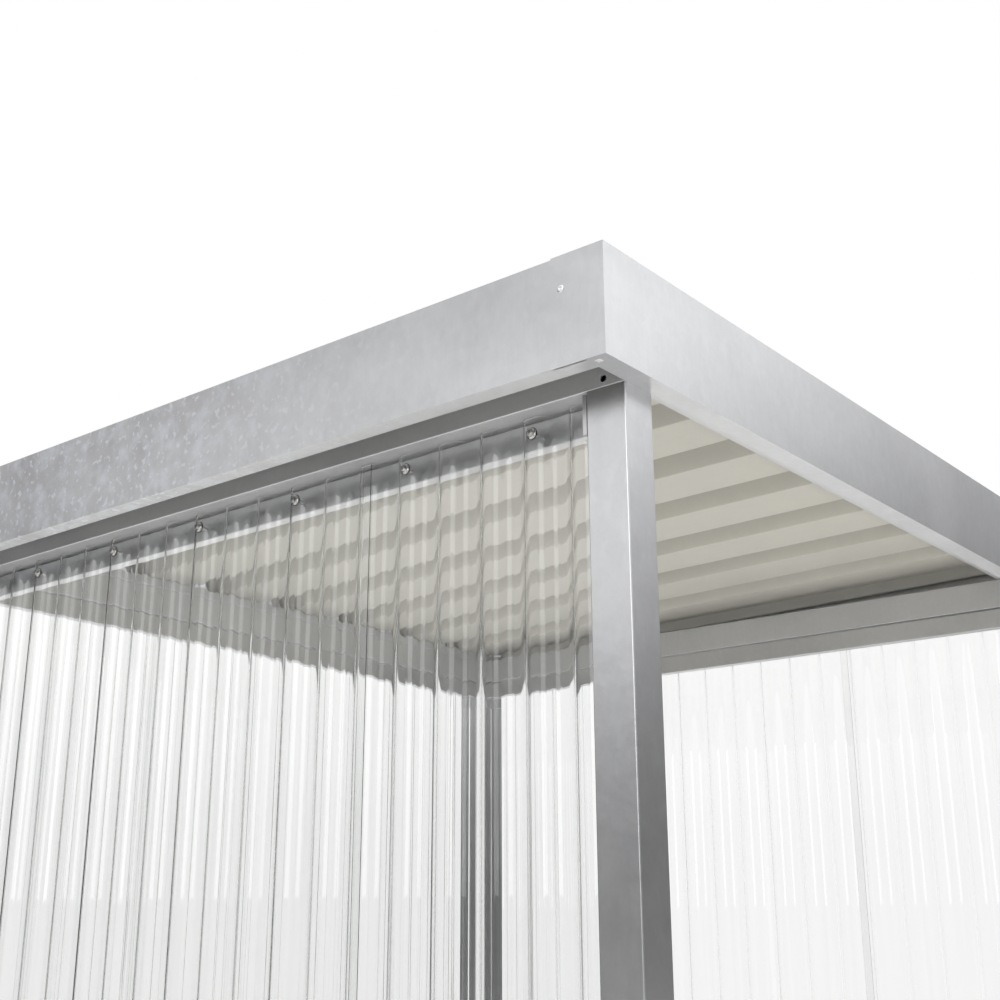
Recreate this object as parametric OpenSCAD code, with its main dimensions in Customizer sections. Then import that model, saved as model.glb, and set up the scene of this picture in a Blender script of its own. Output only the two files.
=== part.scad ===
// Open-fronted smoking shelter: a galvanised tube frame on four posts, clear
// corrugated walls on three sides and a ribbed steel roof behind a folded fascia.
// Origin: middle of the footprint, at ground level. +Z up, open front towards -Y.

/* [Frame] */
// Outside width of the frame, across the open front
frame_w = 1590; // [1200:5:3000]
// Outside depth of the frame, front to back
frame_d = 1570; // [1200:5:3000]
// Height of the post tops above the ground
post_top = 2150; // [1900:10:2600]
// Side of the square post tube
post_size = 60; // [50:1:100]
// Wall of the post and beam tubes
tube_t = 3; // [2:0.5:5]
// Outside corner radius of the post and beam tubes
tube_r = 2; // [1:0.5:10]

/* [Foot plates] */
// Side of the square plate under each post
foot_size = 120; // [110:5:200]
// Thickness of the foot plates
foot_t = 8; // [5:1:15]
// Diameter of the anchor holes
foot_hole_d = 12; // [8:1:14]
// Distance from a hole's middle to the edges of its plate
foot_hole_inset = 15; // [12:1:18]

/* [Beams and purlins] */
// Height of the side and back beams
beam_h = 60; // [40:5:100]
// Width of both purlins, front to back
purlin_w = 60; // [40:5:80]
// Height of the front purlin, which lies across the side beams
front_purlin_h = 50; // [40:1:60]
// Height of the back purlin, which lies along the back beam
back_purlin_h = 20; // [15:1:35]
// Wall of the purlin tubes
purlin_t = 2; // [1.5:0.5:3]
// Distance from the front of the frame to the front purlin
purlin_setback = 30; // [0:1:60]
// Diameter of the vent holes in the side beams
vent_d = 10; // [6:1:14]
// Distance from a beam's end to the middle of its vent hole
vent_from_end = 33; // [20:1:60]
// Height of the vent hole's middle above the underside of the beam
vent_up = 12; // [10:1:25]

/* [Wall rails] */
// Height of the rail tubes
rail_h = 40; // [30:5:60]
// Thickness of the rail tubes, square to the wall
rail_depth = 20; // [18:1:30]
// Wall of the rail tubes
rail_t = 2; // [1.5:0.5:3]
// Outside corner radius of the rail tubes
rail_r = 2; // [1:0.5:5]
// Thickness of the plates on the rails' ends
end_plate_t = 6; // [4:1:10]
// Height of the end plates
end_plate_h = 62; // [60:1:80]
// Gap between the beams and the top rails
rail_gap = 3; // [0.5:0.5:10]
// Corner radius of the end plates
end_plate_r = 9; // [3:1:15]
// Diameter of the vent holes in the end plates
end_vent_d = 8; // [5:1:12]
// Height of the middle rails' underside above the ground
middle_rail_z = 1100; // [700:10:1500]
// Height of the bottom rails' underside above the ground
bottom_rail_z = 160; // [120:5:400]

/* [Wall sheets] */
// Pitch of the corrugations
wave_pitch = 76; // [60:1:100]
// Depth of the corrugations over the sheet's thickness
wave_depth = 18; // [12:1:20]
// Width of the outer flat of each corrugation
wave_crest = 26; // [18:1:32]
// Width of the inner flat of each corrugation
wave_trough = 26; // [18:1:32]
// Thickness of the clear sheet
sheet_t = 1.2; // [0.8:0.1:2]
// Middle radius of the sheet's bends
sheet_bend_r = 7; // [2:0.5:8]
// Gap between a sheet's edge and the end plates
sheet_end_gap = 2; // [1:0.5:5]
// Distance from the first end plate to the end of the first outer flat
first_crest = 35; // [10:1:45]
// Gap between the sheets' top edge and the beams
sheet_top_gap = 3; // [1:0.5:10]
// Length of sheet hanging below the bottom rails
sheet_drop = 30; // [10:1:60]
// Corrugation, counted from 0, where the two sheets of a wall overlap
lap_wave = 5; // [2:1:9]
// Gap between the two sheets in their overlap
lap_gap = 0.4; // [0.3:0.1:1]
// Overlap of the two sheets past the middle of the shared flat
lap_over = 8; // [4:1:12]

/* [Roof deck] */
// Pitch of the roof deck's ribs
rib_pitch = 207; // [150:1:250]
// Height of the ribs
rib_h = 30; // [20:1:32]
// Width of the flat on top of each rib
rib_top = 40; // [25:1:60]
// Sideways run of each rib's flank
rib_run = 24; // [15:1:35]
// Thickness of the roof deck
deck_t = 0.8; // [0.6:0.1:1.5]
// Middle radius of the deck's bends
deck_bend_r = 3; // [1.5:0.5:6]
// Sideways distance from the frame's middle to the nearest rib's middle
rib_shift = -12; // [-100:1:100]
// Rib, counted from the middle one towards the right, where the two decks overlap
deck_lap_rib = 1; // [-2:1:2]
// Gap between the roof deck and the inside of the fascia, at the front and both sides
deck_edge_gap = 8; // [4:1:20]
// Gap between the deck's back edge and the back fascia, where the rain runs off
gutter_gap = 43; // [20:1:60]
// Gap between the deck and the edge of each purlin that carries it
deck_seat = 0.2; // [0.1:0.1:0.5]

/* [Fascia] */
// Height of the fascia
fascia_h = 150; // [150:1:250]
// Thickness of the folded fascia sheet
fascia_t = 2; // [1:0.5:3]
// Overhang of the fascia past the frame at both sides
side_over = 86; // [60:1:150]
// Overhang of the fascia past the frame at front and back
end_over = 31; // [20:1:80]
// Width of the bottom flange of the side fascias
side_lip = 30; // [20:1:40]
// Width of the top flanges
fascia_top = 80; // [30:1:100]

/* [Hidden] */
$fn = 48;
// Half sizes of the frame, and the lines where the wall's layers lie
hw = frame_w / 2;
hd = frame_d / 2;
sheet_z0 = bottom_rail_z - sheet_drop;
sheet_len = post_top - sheet_top_gap - sheet_z0;
// Clear length between two posts along a side wall and along the back wall
side_bay = frame_d - 2 * post_size;
back_bay = frame_w - 2 * post_size;
// Rise and run of one flank of the wall sheet, along its middle line
wave_rise = wave_depth - sheet_t;
wave_run = (wave_pitch - wave_crest - wave_trough) / 2;
wave_slope = norm([wave_run, wave_rise]);
lap_d = sheet_t + lap_gap;
// Inside faces of the fascia, and the edges of the deck between them
fascia_in_x = hw + side_over - fascia_t;
fascia_in_y = hd + end_over - fascia_t;
deck_half_x = fascia_in_x - fascia_t - deck_edge_gap;
deck_front_y = -fascia_in_y + deck_edge_gap;
deck_back_y = fascia_in_y - gutter_gap;
// Heights of the roof's seats, and the fall of the deck between them
front_seat_y = -hd + purlin_setback + purlin_w;
back_seat_y = min(hd, deck_back_y);
front_seat_z = post_top + beam_h + front_purlin_h;
back_seat_z = post_top + beam_h + back_purlin_h;
deck_fall = atan((front_seat_z - back_seat_z) / (back_seat_y - front_seat_y));
deck_lap_x = rib_shift + deck_lap_rib * rib_pitch;
rib_count = ceil((deck_half_x + abs(rib_shift)) / rib_pitch) + 1;
rib_slope = norm([rib_run, rib_h - deck_t]);

// ---- folded sheet: a ribbon of even thickness along a bent line ----

function unit(v) = v / norm(v);
function left_of(v) = [-v[1], v[0]];
function turned(v, a) = [v[0] * cos(a) - v[1] * sin(a), v[0] * sin(a) + v[1] * cos(a)];
function cross_z(a, b) = a[0] * b[1] - a[1] * b[0];

// Corner i of path p, moved d to the left of the path
function side_point(p, i, d) =
    i == 0 ? p[0] + d * left_of(unit(p[1] - p[0]))
    : i == len(p) - 1 ? p[i] + d * left_of(unit(p[i] - p[i - 1]))
    : let (a = left_of(unit(p[i] - p[i - 1])), b = left_of(unit(p[i + 1] - p[i])))
        p[i] + d * (a + b) / (1 + a * b);

// Arc of radius r in place of corner i of path q
function bend(q, i, r, n) =
    let (u = unit(q[i] - q[i - 1]), w = unit(q[i + 1] - q[i]),
        s = sign(cross_z(u, w)), turn = acos(min(1, max(-1, u * w))),
        c = q[i] - u * r * tan(turn / 2) + s * r * left_of(u))
    [for (j = [0:n]) c - s * r * turned(left_of(u), s * turn * j / n)];

// One long side of the ribbon, d to the left of the path, with middle radius r
function ribbon_side(p, d, r, n) =
    let (q = [for (i = [0:len(p) - 1]) side_point(p, i, d)])
    [for (i = [0:len(p) - 1])
        let (s = (i == 0 || i == len(p) - 1) ? 0
            : sign(cross_z(p[i] - p[i - 1], p[i + 1] - p[i])))
        each (s == 0 ? [q[i]] : bend(q, i, r - s * d, n))];

function reversed(v) = [for (i = [len(v) - 1:-1:0]) v[i]];

module ribbon(p, t, r, n) {
    polygon(concat(ribbon_side(p, t / 2, r, n), reversed(ribbon_side(p, -t / 2, r, n))));
}

// ---- tubes ----

module rounded_rect(w, h, r) {
    translate([r, 0]) square([w - 2 * r, h]);
    translate([0, r]) square([w, h - 2 * r]);
    for (x = [r, w - r], y = [r, h - r])
        translate([x, y]) circle(r);
}

// Inside corner radius of a tube of wall t and outside radius r
function inner_r(r, t) = max(r - t, 0.5);

module tube_section(w, h, t, r) {
    difference() {
        rounded_rect(w, h, r);
        translate([t, t]) rounded_rect(w - 2 * t, h - 2 * t, inner_r(r, t));
    }
}

// ---- posts ----

module post() {
    color("darkgray")
        translate([0, 0, foot_t])
            linear_extrude(post_top - foot_t)
                tube_section(post_size, post_size, tube_t, tube_r);
}

module front_left_post() {
    translate([-hw, -hd, 0]) post();
}

module front_right_post() {
    translate([hw - post_size, -hd, 0]) post();
}

module back_left_post() {
    translate([-hw, hd - post_size, 0]) post();
}

module back_right_post() {
    translate([hw - post_size, hd - post_size, 0]) post();
}

module foot_plate() {
    reach = foot_size / 2 - foot_hole_inset;
    difference() {
        translate([-foot_size / 2, -foot_size / 2, 0])
            cube([foot_size, foot_size, foot_t]);
        for (x = [-reach, reach], y = [-reach, reach])
            translate([x, y, -1]) cylinder(d = foot_hole_d, h = foot_t + 2);
    }
}

module foot_plates() {
    color("darkgray")
        for (x = [-1, 1], y = [-1, 1])
            translate([x * (hw - post_size / 2), y * (hd - post_size / 2), 0])
                foot_plate();
}

// ---- beams and purlins ----

// Tube with closed ends, lying along +Y from the origin
module closed_tube(w, len, h, t, r) {
    translate([0, len, 0]) rotate([90, 0, 0])
        difference() {
            linear_extrude(len) rounded_rect(w, h, r);
            translate([t, t, t])
                linear_extrude(len - 2 * t)
                    rounded_rect(w - 2 * t, h - 2 * t, inner_r(r, t));
        }
}

// Side beam along +Y with its vent holes in the face at x = 0
module side_beam() {
    color("darkgray")
        difference() {
            closed_tube(post_size, frame_d, beam_h, tube_t, tube_r);
            for (y = [vent_from_end, frame_d - vent_from_end])
                translate([-1, y, vent_up]) rotate([0, 90, 0])
                    cylinder(d = vent_d, h = tube_t + 2);
        }
}

module left_beam() {
    translate([-hw, -hd, post_top]) side_beam();
}

module right_beam() {
    mirror([1, 0, 0]) left_beam();
}

// Open tube along +X from the origin
module open_tube_x(len, w, h, t, r) {
    rotate([90, 0, 90]) linear_extrude(len) tube_section(w, h, t, r);
}

module back_beam() {
    color("darkgray")
        translate([-hw + post_size, hd - post_size, post_top])
            open_tube_x(back_bay, post_size, beam_h, tube_t, tube_r);
}

module front_purlin() {
    color("darkgray")
        translate([-hw, -hd + purlin_setback, post_top + beam_h])
            open_tube_x(frame_w, purlin_w, front_purlin_h, purlin_t, rail_r);
}

module back_purlin() {
    color("darkgray")
        translate([-hw, hd - purlin_w, post_top + beam_h])
            open_tube_x(frame_w, purlin_w, back_purlin_h, purlin_t, rail_r);
}

// ---- wall rails ----

// Plate on a rail's end, standing in the XZ plane, z = 0 at the rail's underside
module end_plate(up, round_top) {
    r = end_plate_r;
    z0 = up - end_plate_h;
    translate([0, end_plate_t, 0]) rotate([90, 0, 0])
        linear_extrude(end_plate_t) {
            translate([r, z0]) square([post_size - 2 * r, end_plate_h]);
            translate([0, z0 + r])
                square([post_size, end_plate_h - (round_top ? 2 : 1) * r]);
            for (x = [r, post_size - r], z = round_top ? [z0 + r, up - r] : [z0 + r])
                translate([x, z]) circle(r);
        }
}

// Rail of a bay, along +Y from the first post, outer face of the wall at x = 0
module rail(bay, up, round_top) {
    color("silver")
        difference() {
            union() {
                translate([post_size - rail_depth, end_plate_t, 0])
                    translate([0, bay - 2 * end_plate_t, 0]) rotate([90, 0, 0])
                        linear_extrude(bay - 2 * end_plate_t)
                            tube_section(rail_depth, rail_h, rail_t, rail_r);
                end_plate(up, round_top);
                translate([0, bay - end_plate_t, 0]) end_plate(up, round_top);
            }
            translate([post_size - rail_depth / 2, -1, rail_h / 2]) rotate([-90, 0, 0])
                cylinder(d = end_vent_d, h = bay + 2);
        }
}

module top_rail(bay) {
    translate([0, 0, post_top - rail_gap - rail_h]) rail(bay, rail_h, false);
}

module middle_rail(bay) {
    translate([0, 0, middle_rail_z]) rail(bay, (rail_h + end_plate_h) / 2, true);
}

module bottom_rail(bay) {
    translate([0, 0, bottom_rail_z]) rail(bay, (rail_h + end_plate_h) / 2, true);
}

// Puts a wall built along +Y from its first post's inner side into place
module on_left() {
    translate([-hw, -hd + post_size, 0]) children();
}

module on_right() {
    mirror([1, 0, 0]) on_left() children();
}

module on_back() {
    translate([-hw + post_size, hd, 0]) rotate([0, 0, -90]) children();
}

module left_top_rail() {
    on_left() top_rail(side_bay);
}

module left_middle_rail() {
    on_left() middle_rail(side_bay);
}

module left_bottom_rail() {
    on_left() bottom_rail(side_bay);
}

module right_top_rail() {
    on_right() top_rail(side_bay);
}

module right_middle_rail() {
    on_right() middle_rail(side_bay);
}

module right_bottom_rail() {
    on_right() bottom_rail(side_bay);
}

module back_top_rail() {
    on_back() top_rail(back_bay);
}

module back_middle_rail() {
    on_back() middle_rail(back_bay);
}

module back_bottom_rail() {
    on_back() bottom_rail(back_bay);
}

// ---- wall sheets: the profile runs along the wall, x is the depth from outside ----

// End of outer flat k, measured along the wall from the first post
function crest_end(k) = end_plate_t + first_crest + k * wave_pitch;

// Folded line of corrugations a to b, along the sheet's middle, outer flats at 0
function wave_line(a, b) = [for (k = [a:b])
    each [[crest_end(k) - wave_crest, 0], [crest_end(k), 0],
        [crest_end(k) + wave_run, wave_rise],
        [crest_end(k) + wave_run + wave_trough, wave_rise]]];

// The covering sheet's first outer flat, lifted off the one that it overlaps
function lap_line(k) = [[crest_end(k) - wave_crest / 2 - lap_over, -lap_d],
    [crest_end(k) + lap_d * (wave_slope - wave_run) / wave_rise, -lap_d],
    [crest_end(k) + wave_run + lap_d * wave_slope / wave_rise, wave_rise],
    [crest_end(k) + wave_run + wave_trough, wave_rise]];

module wall_sheet(line, from, to) {
    outer = post_size - rail_depth - wave_depth + sheet_t / 2;
    color("lightcyan", 0.5)
        translate([0, 0, sheet_z0])
            linear_extrude(sheet_len)
                translate([outer, 0]) mirror([1, -1])
                    intersection() {
                        ribbon(line, sheet_t, sheet_bend_r, 3);
                        translate([from, -wave_depth])
                            square([to - from, 3 * wave_depth]);
                    }
}

// The narrow sheet ends under the next one, just past the shared outer flat
module first_sheet() {
    wall_sheet(wave_line(-1, lap_wave), end_plate_t + sheet_end_gap,
        crest_end(lap_wave) - wave_crest / 2 + lap_over);
}

module second_sheet(bay) {
    last = ceil(bay / wave_pitch);
    wall_sheet(concat(lap_line(lap_wave), wave_line(lap_wave + 1, last)), 0,
        bay - end_plate_t - sheet_end_gap);
}

module left_front_sheet() {
    on_left() first_sheet();
}

module left_back_sheet() {
    on_left() second_sheet(side_bay);
}

module right_front_sheet() {
    on_right() first_sheet();
}

module right_back_sheet() {
    on_right() second_sheet(side_bay);
}

module back_left_sheet() {
    on_back() first_sheet();
}

module back_right_sheet() {
    on_back() second_sheet(back_bay);
}

// ---- roof deck: lower flats at 0, ribs standing up ----

function rib_line(a, b) = [for (k = [a:b])
    let (c = rib_shift + k * rib_pitch, h = rib_h - deck_t)
    each [[c - rib_top / 2 - rib_run, 0], [c - rib_top / 2, h],
        [c + rib_top / 2, h], [c + rib_top / 2 + rib_run, 0]]];

// The covering deck's first rib, lifted off the rib that it overlaps
function deck_lap_line(k) =
    let (c = rib_shift + k * rib_pitch, h = rib_h - deck_t, d = deck_t + lap_gap)
    [[c - rib_top / 2, h + d],
        [c + rib_top / 2 + d * (rib_slope - rib_run) / h, h + d],
        [c + rib_top / 2 + rib_run + d * rib_slope / h, 0]];

module deck(line, from, to) {
    color("ivory")
        translate([0, front_seat_y, front_seat_z + deck_seat])
            rotate([-deck_fall, 0, 0])
                translate([0, deck_back_y - front_seat_y, deck_t / 2])
                    rotate([90, 0, 0])
                        linear_extrude(deck_back_y - deck_front_y)
                            intersection() {
                                ribbon(line, deck_t, deck_bend_r, 2);
                                translate([from, -rib_h])
                                    square([to - from, 3 * rib_h]);
                            }
}

module left_deck() {
    deck(rib_line(-rib_count, deck_lap_rib), -deck_half_x,
        deck_lap_x + rib_top / 2 - deck_bend_r);
}

module right_deck() {
    deck(concat(deck_lap_line(deck_lap_rib), rib_line(deck_lap_rib + 1, rib_count)),
        deck_lap_x - rib_top / 2, deck_half_x);
}

// ---- fascia ----

// Front fascia: face, top flange over the side fascias, bottom flange and end tabs
module end_fascia() {
    x = hw + side_over;
    y = -hd - end_over;
    t = fascia_t;
    color("silver")
        translate([0, 0, post_top]) {
            translate([-x + t, y, 0]) cube([2 * (x - t), t, fascia_h]);
            translate([-x, y, fascia_h - t]) cube([2 * x, fascia_top, t]);
            translate([-x + t, y, 0]) cube([2 * (x - t), end_over, t]);
            for (s = [-1, 1])
                translate([s * (x - 1.5 * t) - t / 2, y, 0])
                    cube([t, fascia_top, fascia_h - 2 * t]);
        }
}

module front_fascia() {
    end_fascia();
}

module back_fascia() {
    mirror([0, 1, 0]) end_fascia();
}

// Left fascia: face, top flange and bottom flange between the end fascias' flanges
module left_fascia() {
    x = -hw - side_over;
    y = hd + end_over;
    t = fascia_t;
    color("silver")
        translate([0, 0, post_top]) {
            translate([x, -y, 0]) cube([t, 2 * y, fascia_h - t]);
            translate([x, -y + t, fascia_h - 2 * t]) cube([fascia_top, 2 * (y - t), t]);
            translate([x, -hd, 0]) cube([side_lip, frame_d, t]);
        }
}

module right_fascia() {
    mirror([1, 0, 0]) left_fascia();
}

front_left_post();
front_right_post();
back_left_post();
back_right_post();
foot_plates();
left_beam();
right_beam();
back_beam();
front_purlin();
back_purlin();
left_top_rail();
left_middle_rail();
left_bottom_rail();
right_top_rail();
right_middle_rail();
right_bottom_rail();
back_top_rail();
back_middle_rail();
back_bottom_rail();
left_front_sheet();
left_back_sheet();
right_front_sheet();
right_back_sheet();
back_left_sheet();
back_right_sheet();
left_deck();
right_deck();
front_fascia();
back_fascia();
left_fascia();
right_fascia();
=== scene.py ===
"""Open-fronted smoking shelter, dressed over its measured frame.

The tube frame, fascia and roof deck keep the frame's own solids and get
their finishes here. The clear wall sheets, the screws, the rivets and the
foot welds are surfaces worked out with numpy, in metres, where the frame
says they go.
"""
import math

import bpy
import numpy as np
from bpy.props import FloatProperty, FloatVectorProperty, IntProperty, PointerProperty
from mathutils import Matrix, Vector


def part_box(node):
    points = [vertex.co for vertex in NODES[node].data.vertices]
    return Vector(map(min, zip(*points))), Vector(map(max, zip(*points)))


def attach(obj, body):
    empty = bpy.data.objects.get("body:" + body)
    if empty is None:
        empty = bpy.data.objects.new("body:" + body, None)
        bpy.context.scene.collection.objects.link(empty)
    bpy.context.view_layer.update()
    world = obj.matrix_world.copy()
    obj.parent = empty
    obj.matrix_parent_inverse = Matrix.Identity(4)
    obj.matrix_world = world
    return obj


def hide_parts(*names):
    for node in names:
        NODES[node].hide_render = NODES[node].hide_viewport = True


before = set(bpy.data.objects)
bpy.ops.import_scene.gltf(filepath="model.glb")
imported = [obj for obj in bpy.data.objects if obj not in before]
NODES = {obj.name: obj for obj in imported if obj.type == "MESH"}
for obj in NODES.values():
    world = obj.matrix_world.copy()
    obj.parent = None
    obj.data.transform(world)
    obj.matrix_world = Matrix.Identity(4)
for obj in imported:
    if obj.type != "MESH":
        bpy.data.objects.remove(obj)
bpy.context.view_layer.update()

bl_info = {
    "name": "Smoking Shelter",
    "version": (1, 0, 0),
    "blender": (4, 5, 0),
    "location": "3D View > Sidebar > Shelter",
    "description": "Finishes and small fixings for an open-fronted tube and sheet shelter",
    "category": "Object",
}

POSTS = ["front_left_post", "front_right_post", "back_left_post", "back_right_post"]
BEAMS = ["left_beam", "right_beam", "back_beam", "front_purlin", "back_purlin"]
LEVELS = ["top", "middle", "bottom"]
RAILS = [f"{wall}_{level}_rail" for wall in ("left", "right", "back") for level in LEVELS]
# The two clear sheets of each wall: the narrow one, then the wide one that covers its edge
SHEETS = {
    "left": ("left_front_sheet", "left_back_sheet"),
    "right": ("right_front_sheet", "right_back_sheet"),
    "back": ("back_left_sheet", "back_right_sheet"),
}
FASCIAS = ["left_fascia", "right_fascia", "front_fascia", "back_fascia"]
DECKS = ["left_deck", "right_deck"]

# Tones of the zinc's flecks, pale spots, murky patches and dust
FLECK_WHITE, BLOOM_WHITE = (0.82, 0.84, 0.86), (0.82, 0.85, 0.91)
MURK_GREY, DUST_GREY = (0.49, 0.48, 0.50), (0.50, 0.50, 0.48)
# Brightness of the grey surround at shares of its height, left and right of the shelter
LEFT_GLOW = ((0.20, 0.02), (0.27, 0.07), (0.33, 0.42), (0.40, 0.88), (0.47, 1.33),
             (0.56, 1.39), (0.63, 1.10), (0.71, 0.58), (1.0, 0.64))
RIGHT_GLOW = ((0.20, 0.07), (0.34, 0.23), (0.41, 0.345), (0.48, 0.53), (0.55, 0.82),
              (0.62, 1.15), (0.72, 1.78), (0.80, 1.1), (1.0, 0.80))
# Wall sheets: spacing of the points along a sheet, least distance between two of them, and
# points in a bend
SHEET_STEP, LEAST_STEP, BEND_POINTS = 0.0015, 1e-5, 9
# Length of the screws' shanks below their seats, and sides of the turned screws and rivets
WALL_SHANK, DECK_SHANK, SCREW_SIDES, RIVET_SIDES = 0.0165, 0.012, 24, 32
# Foot welds: points round a post, and puddles and slow swellings of the bead on the way
WELD_POINTS, PUDDLES, SWELLINGS = 128, 34, 5
# Floor: how far out it fades away and ends, its height, and its points per ring
FADE_FROM, FLOOR_EDGE, FLOOR_HEIGHT, FLOOR_POINTS = 3.0, 9.0, -0.0005, 96
# Points per ring of the surround
WALL_POINTS = 64


# ---- sizes and colours that a user may change ----


class ShelterSheetSizes(bpy.types.PropertyGroup):
    """Shape of the clear corrugated wall sheets"""

    pitch: FloatProperty(
        name="Pitch", default=0.076, unit="LENGTH",
        description="Distance from one corrugation to the next",
    )
    crest: FloatProperty(
        name="Outer flat", default=0.026, unit="LENGTH",
        description="Width of the outer flat of each corrugation",
    )
    trough: FloatProperty(
        name="Inner flat", default=0.026, unit="LENGTH",
        description="Width of the inner flat of each corrugation",
    )
    first_crest: FloatProperty(
        name="First flat", default=0.041, unit="LENGTH",
        description="Distance from the first post to the end of the first outer flat",
    )
    depth: FloatProperty(
        name="Depth", default=0.015, unit="LENGTH",
        description="Depth of the corrugations over the sheet's thickness",
    )
    thickness: FloatProperty(
        name="Thickness", default=0.0012, unit="LENGTH",
        description="Thickness of the clear sheet on its flats",
    )
    thickening: FloatProperty(
        name="Thickening", default=0.00014, unit="LENGTH",
        description="How much thicker the sheet has set in its bends than on its flats",
    )
    thick_reach: FloatProperty(
        name="Thickening reach", default=0.006, unit="LENGTH",
        description="Distance from a bend over which the thickening dies away",
    )
    bend: FloatProperty(
        name="Bend radius", default=0.015, unit="LENGTH",
        description="Middle radius of the bends between flats and flanks",
    )
    lap_wave: IntProperty(
        name="Overlap", default=5, min=1,
        description="Corrugation, counted from 0, where the two sheets of a wall overlap",
    )
    lap_lift: FloatProperty(
        name="Overlap lift", default=0.0016, unit="LENGTH",
        description="Distance from the covered sheet's middle to the covering sheet's middle",
    )
    lap_over: FloatProperty(
        name="Overlap width", default=0.008, unit="LENGTH",
        description="How far each sheet runs past the middle of the shared flat",
    )
    edge_gap: FloatProperty(
        name="Edge gap", default=0.008, unit="LENGTH",
        description="Distance from the posts to the sheets' long edges",
    )


class ShelterFixingSizes(bpy.types.PropertyGroup):
    """Sizes of the screws, rivets and welds"""

    washer_radius: FloatProperty(
        name="Washer radius", default=0.0088, unit="LENGTH",
        description="Outside radius of the rubber-backed washer under each screw",
    )
    head_radius: FloatProperty(
        name="Head radius", default=0.0046, unit="LENGTH",
        description="Radius over the corners of the hexagon screw head",
    )
    head_height: FloatProperty(
        name="Head height", default=0.0042, unit="LENGTH",
        description="Height of the hexagon screw head above its washer",
    )
    screw_every: IntProperty(
        name="Screw every", default=3, min=1,
        description="Number of corrugations from one wall screw to the next",
    )
    screw_first: IntProperty(
        name="First screw", default=1, min=0,
        description="Corrugation, counted from 0, that takes the first wall screw",
    )
    screw_drop: FloatProperty(
        name="Screw drop", default=0.0026, unit="LENGTH",
        description="Distance from a rail's middle down to its screws",
    )
    top_middle: FloatProperty(
        name="Top rail's middle", default=0.020, unit="LENGTH",
        description="Distance from the top rails' upper face down to their tube's middle",
    )
    rivet_radius: FloatProperty(
        name="Rivet radius", default=0.0052, unit="LENGTH",
        description="Outside radius of the blind rivet heads in the fascia",
    )
    weld_leg: FloatProperty(
        name="Weld leg", default=0.0045, unit="LENGTH",
        description="Leg of the fillet weld round each post's foot",
    )


class ShelterFinish(bpy.types.PropertyGroup):
    """Colours of the shelter's finishes"""

    zinc_light: FloatVectorProperty(
        name="Zinc, light", subtype="COLOR", size=3, min=0.0, max=1.0, default=(0.705, 0.710, 0.725),
        description="Lighter tone of the hot-dip zinc",
    )
    zinc_dark: FloatVectorProperty(
        name="Zinc, dark", subtype="COLOR", size=3, min=0.0, max=1.0, default=(0.580, 0.585, 0.600),
        description="Darker tone of the hot-dip zinc",
    )
    deck_coat: FloatVectorProperty(
        name="Deck coat", subtype="COLOR", size=3, min=0.0, max=1.0, default=(0.715, 0.695, 0.63),
        description="Off-white coat of the roof deck",
    )
    clear_tint: FloatVectorProperty(
        name="Clear tint", subtype="COLOR", size=3, min=0.0, max=1.0, default=(0.985, 0.990, 0.985),
        description="Tint of the clear wall sheets",
    )
    floor: FloatVectorProperty(
        name="Floor", subtype="COLOR", size=3, min=0.0, max=1.0, default=(0.93, 0.915, 0.885),
        description="Pale floor under the shelter",
    )


class ShelterStage(bpy.types.PropertyGroup):
    """Camera and light"""

    eye: FloatVectorProperty(
        name="Eye", subtype="TRANSLATION", unit="LENGTH", size=3, default=(-2.12397, -1.66610, 1.49),
        description="Place of the camera",
    )
    heading: FloatProperty(
        name="Heading", subtype="ANGLE", unit="ROTATION", default=math.radians(50.836),
        description="Turn of the camera from straight ahead towards the right",
    )
    pitch: FloatProperty(
        name="Upward tilt", subtype="ANGLE", unit="ROTATION", default=math.radians(17.632),
        description="Tilt of the camera above level",
    )
    roll: FloatProperty(
        name="Roll", subtype="ANGLE", unit="ROTATION", default=math.radians(-0.142),
        description="Turn of the camera about its own line of sight",
    )
    lens: FloatProperty(
        name="Lens", default=49.485,
        description="Focal length in millimetres on a 36 mm wide sensor",
    )
    sky: FloatProperty(
        name="Even light", default=1.2, min=0.0,
        description="Strength of the even light from all round",
    )
    reach: FloatProperty(
        name="Surround's reach", default=9.0, unit="LENGTH",
        description="Radius and height of the grey surround that the metal reflects",
    )
    lamps: FloatProperty(
        name="Lamps", default=1.0, min=0.0,
        description="Share of the soft lamps' full strength",
    )


# ---- meshes: grids of points, worked out as whole arrays ----


def grid_faces(rows, cols, close_rows=False, close_cols=False):
    """Quads of a grid of rows x cols points, row by row, closed round either way if asked."""
    i = np.arange(rows if close_rows else rows - 1)[:, None]
    j = np.arange(cols if close_cols else cols - 1)[None, :]
    i2, j2 = (i + 1) % rows, (j + 1) % cols
    quads = np.stack([i * cols + j, i * cols + j2, i2 * cols + j2, i2 * cols + j], axis=-1)
    return quads.reshape(-1, 4)


def mesh_object(name, points, faces, material):
    """A mesh object in the scene, in one material."""
    mesh = bpy.data.meshes.new(name)
    mesh.from_pydata(np.asarray(points, float), [], [tuple(map(int, f)) for f in faces])
    mesh.materials.append(material)
    obj = bpy.data.objects.new(name, mesh)
    bpy.context.scene.collection.objects.link(obj)
    return obj


def piece(name, points, faces, sharp_over, material):
    """A piece with smooth faces and edges kept sharp where they turn more than an angle."""
    obj = mesh_object(name, points, faces, material)
    obj.data.validate()
    obj.data.shade_smooth()
    obj.data.set_sharp_from_angle(angle=math.radians(sharp_over))
    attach(obj, "root")
    return obj


def circles(radii, heights, count):
    """Rings of points at radius times cosine and sine of an angle, each at its height."""
    angle = np.arange(count) * 2 * math.pi / count
    r = np.asarray(radii, float)[:, None]
    z = np.broadcast_to(np.asarray(heights, float)[:, None], (len(r), count))
    return np.stack([r * np.cos(angle), r * np.sin(angle), z], axis=-1).reshape(-1, 3)


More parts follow.
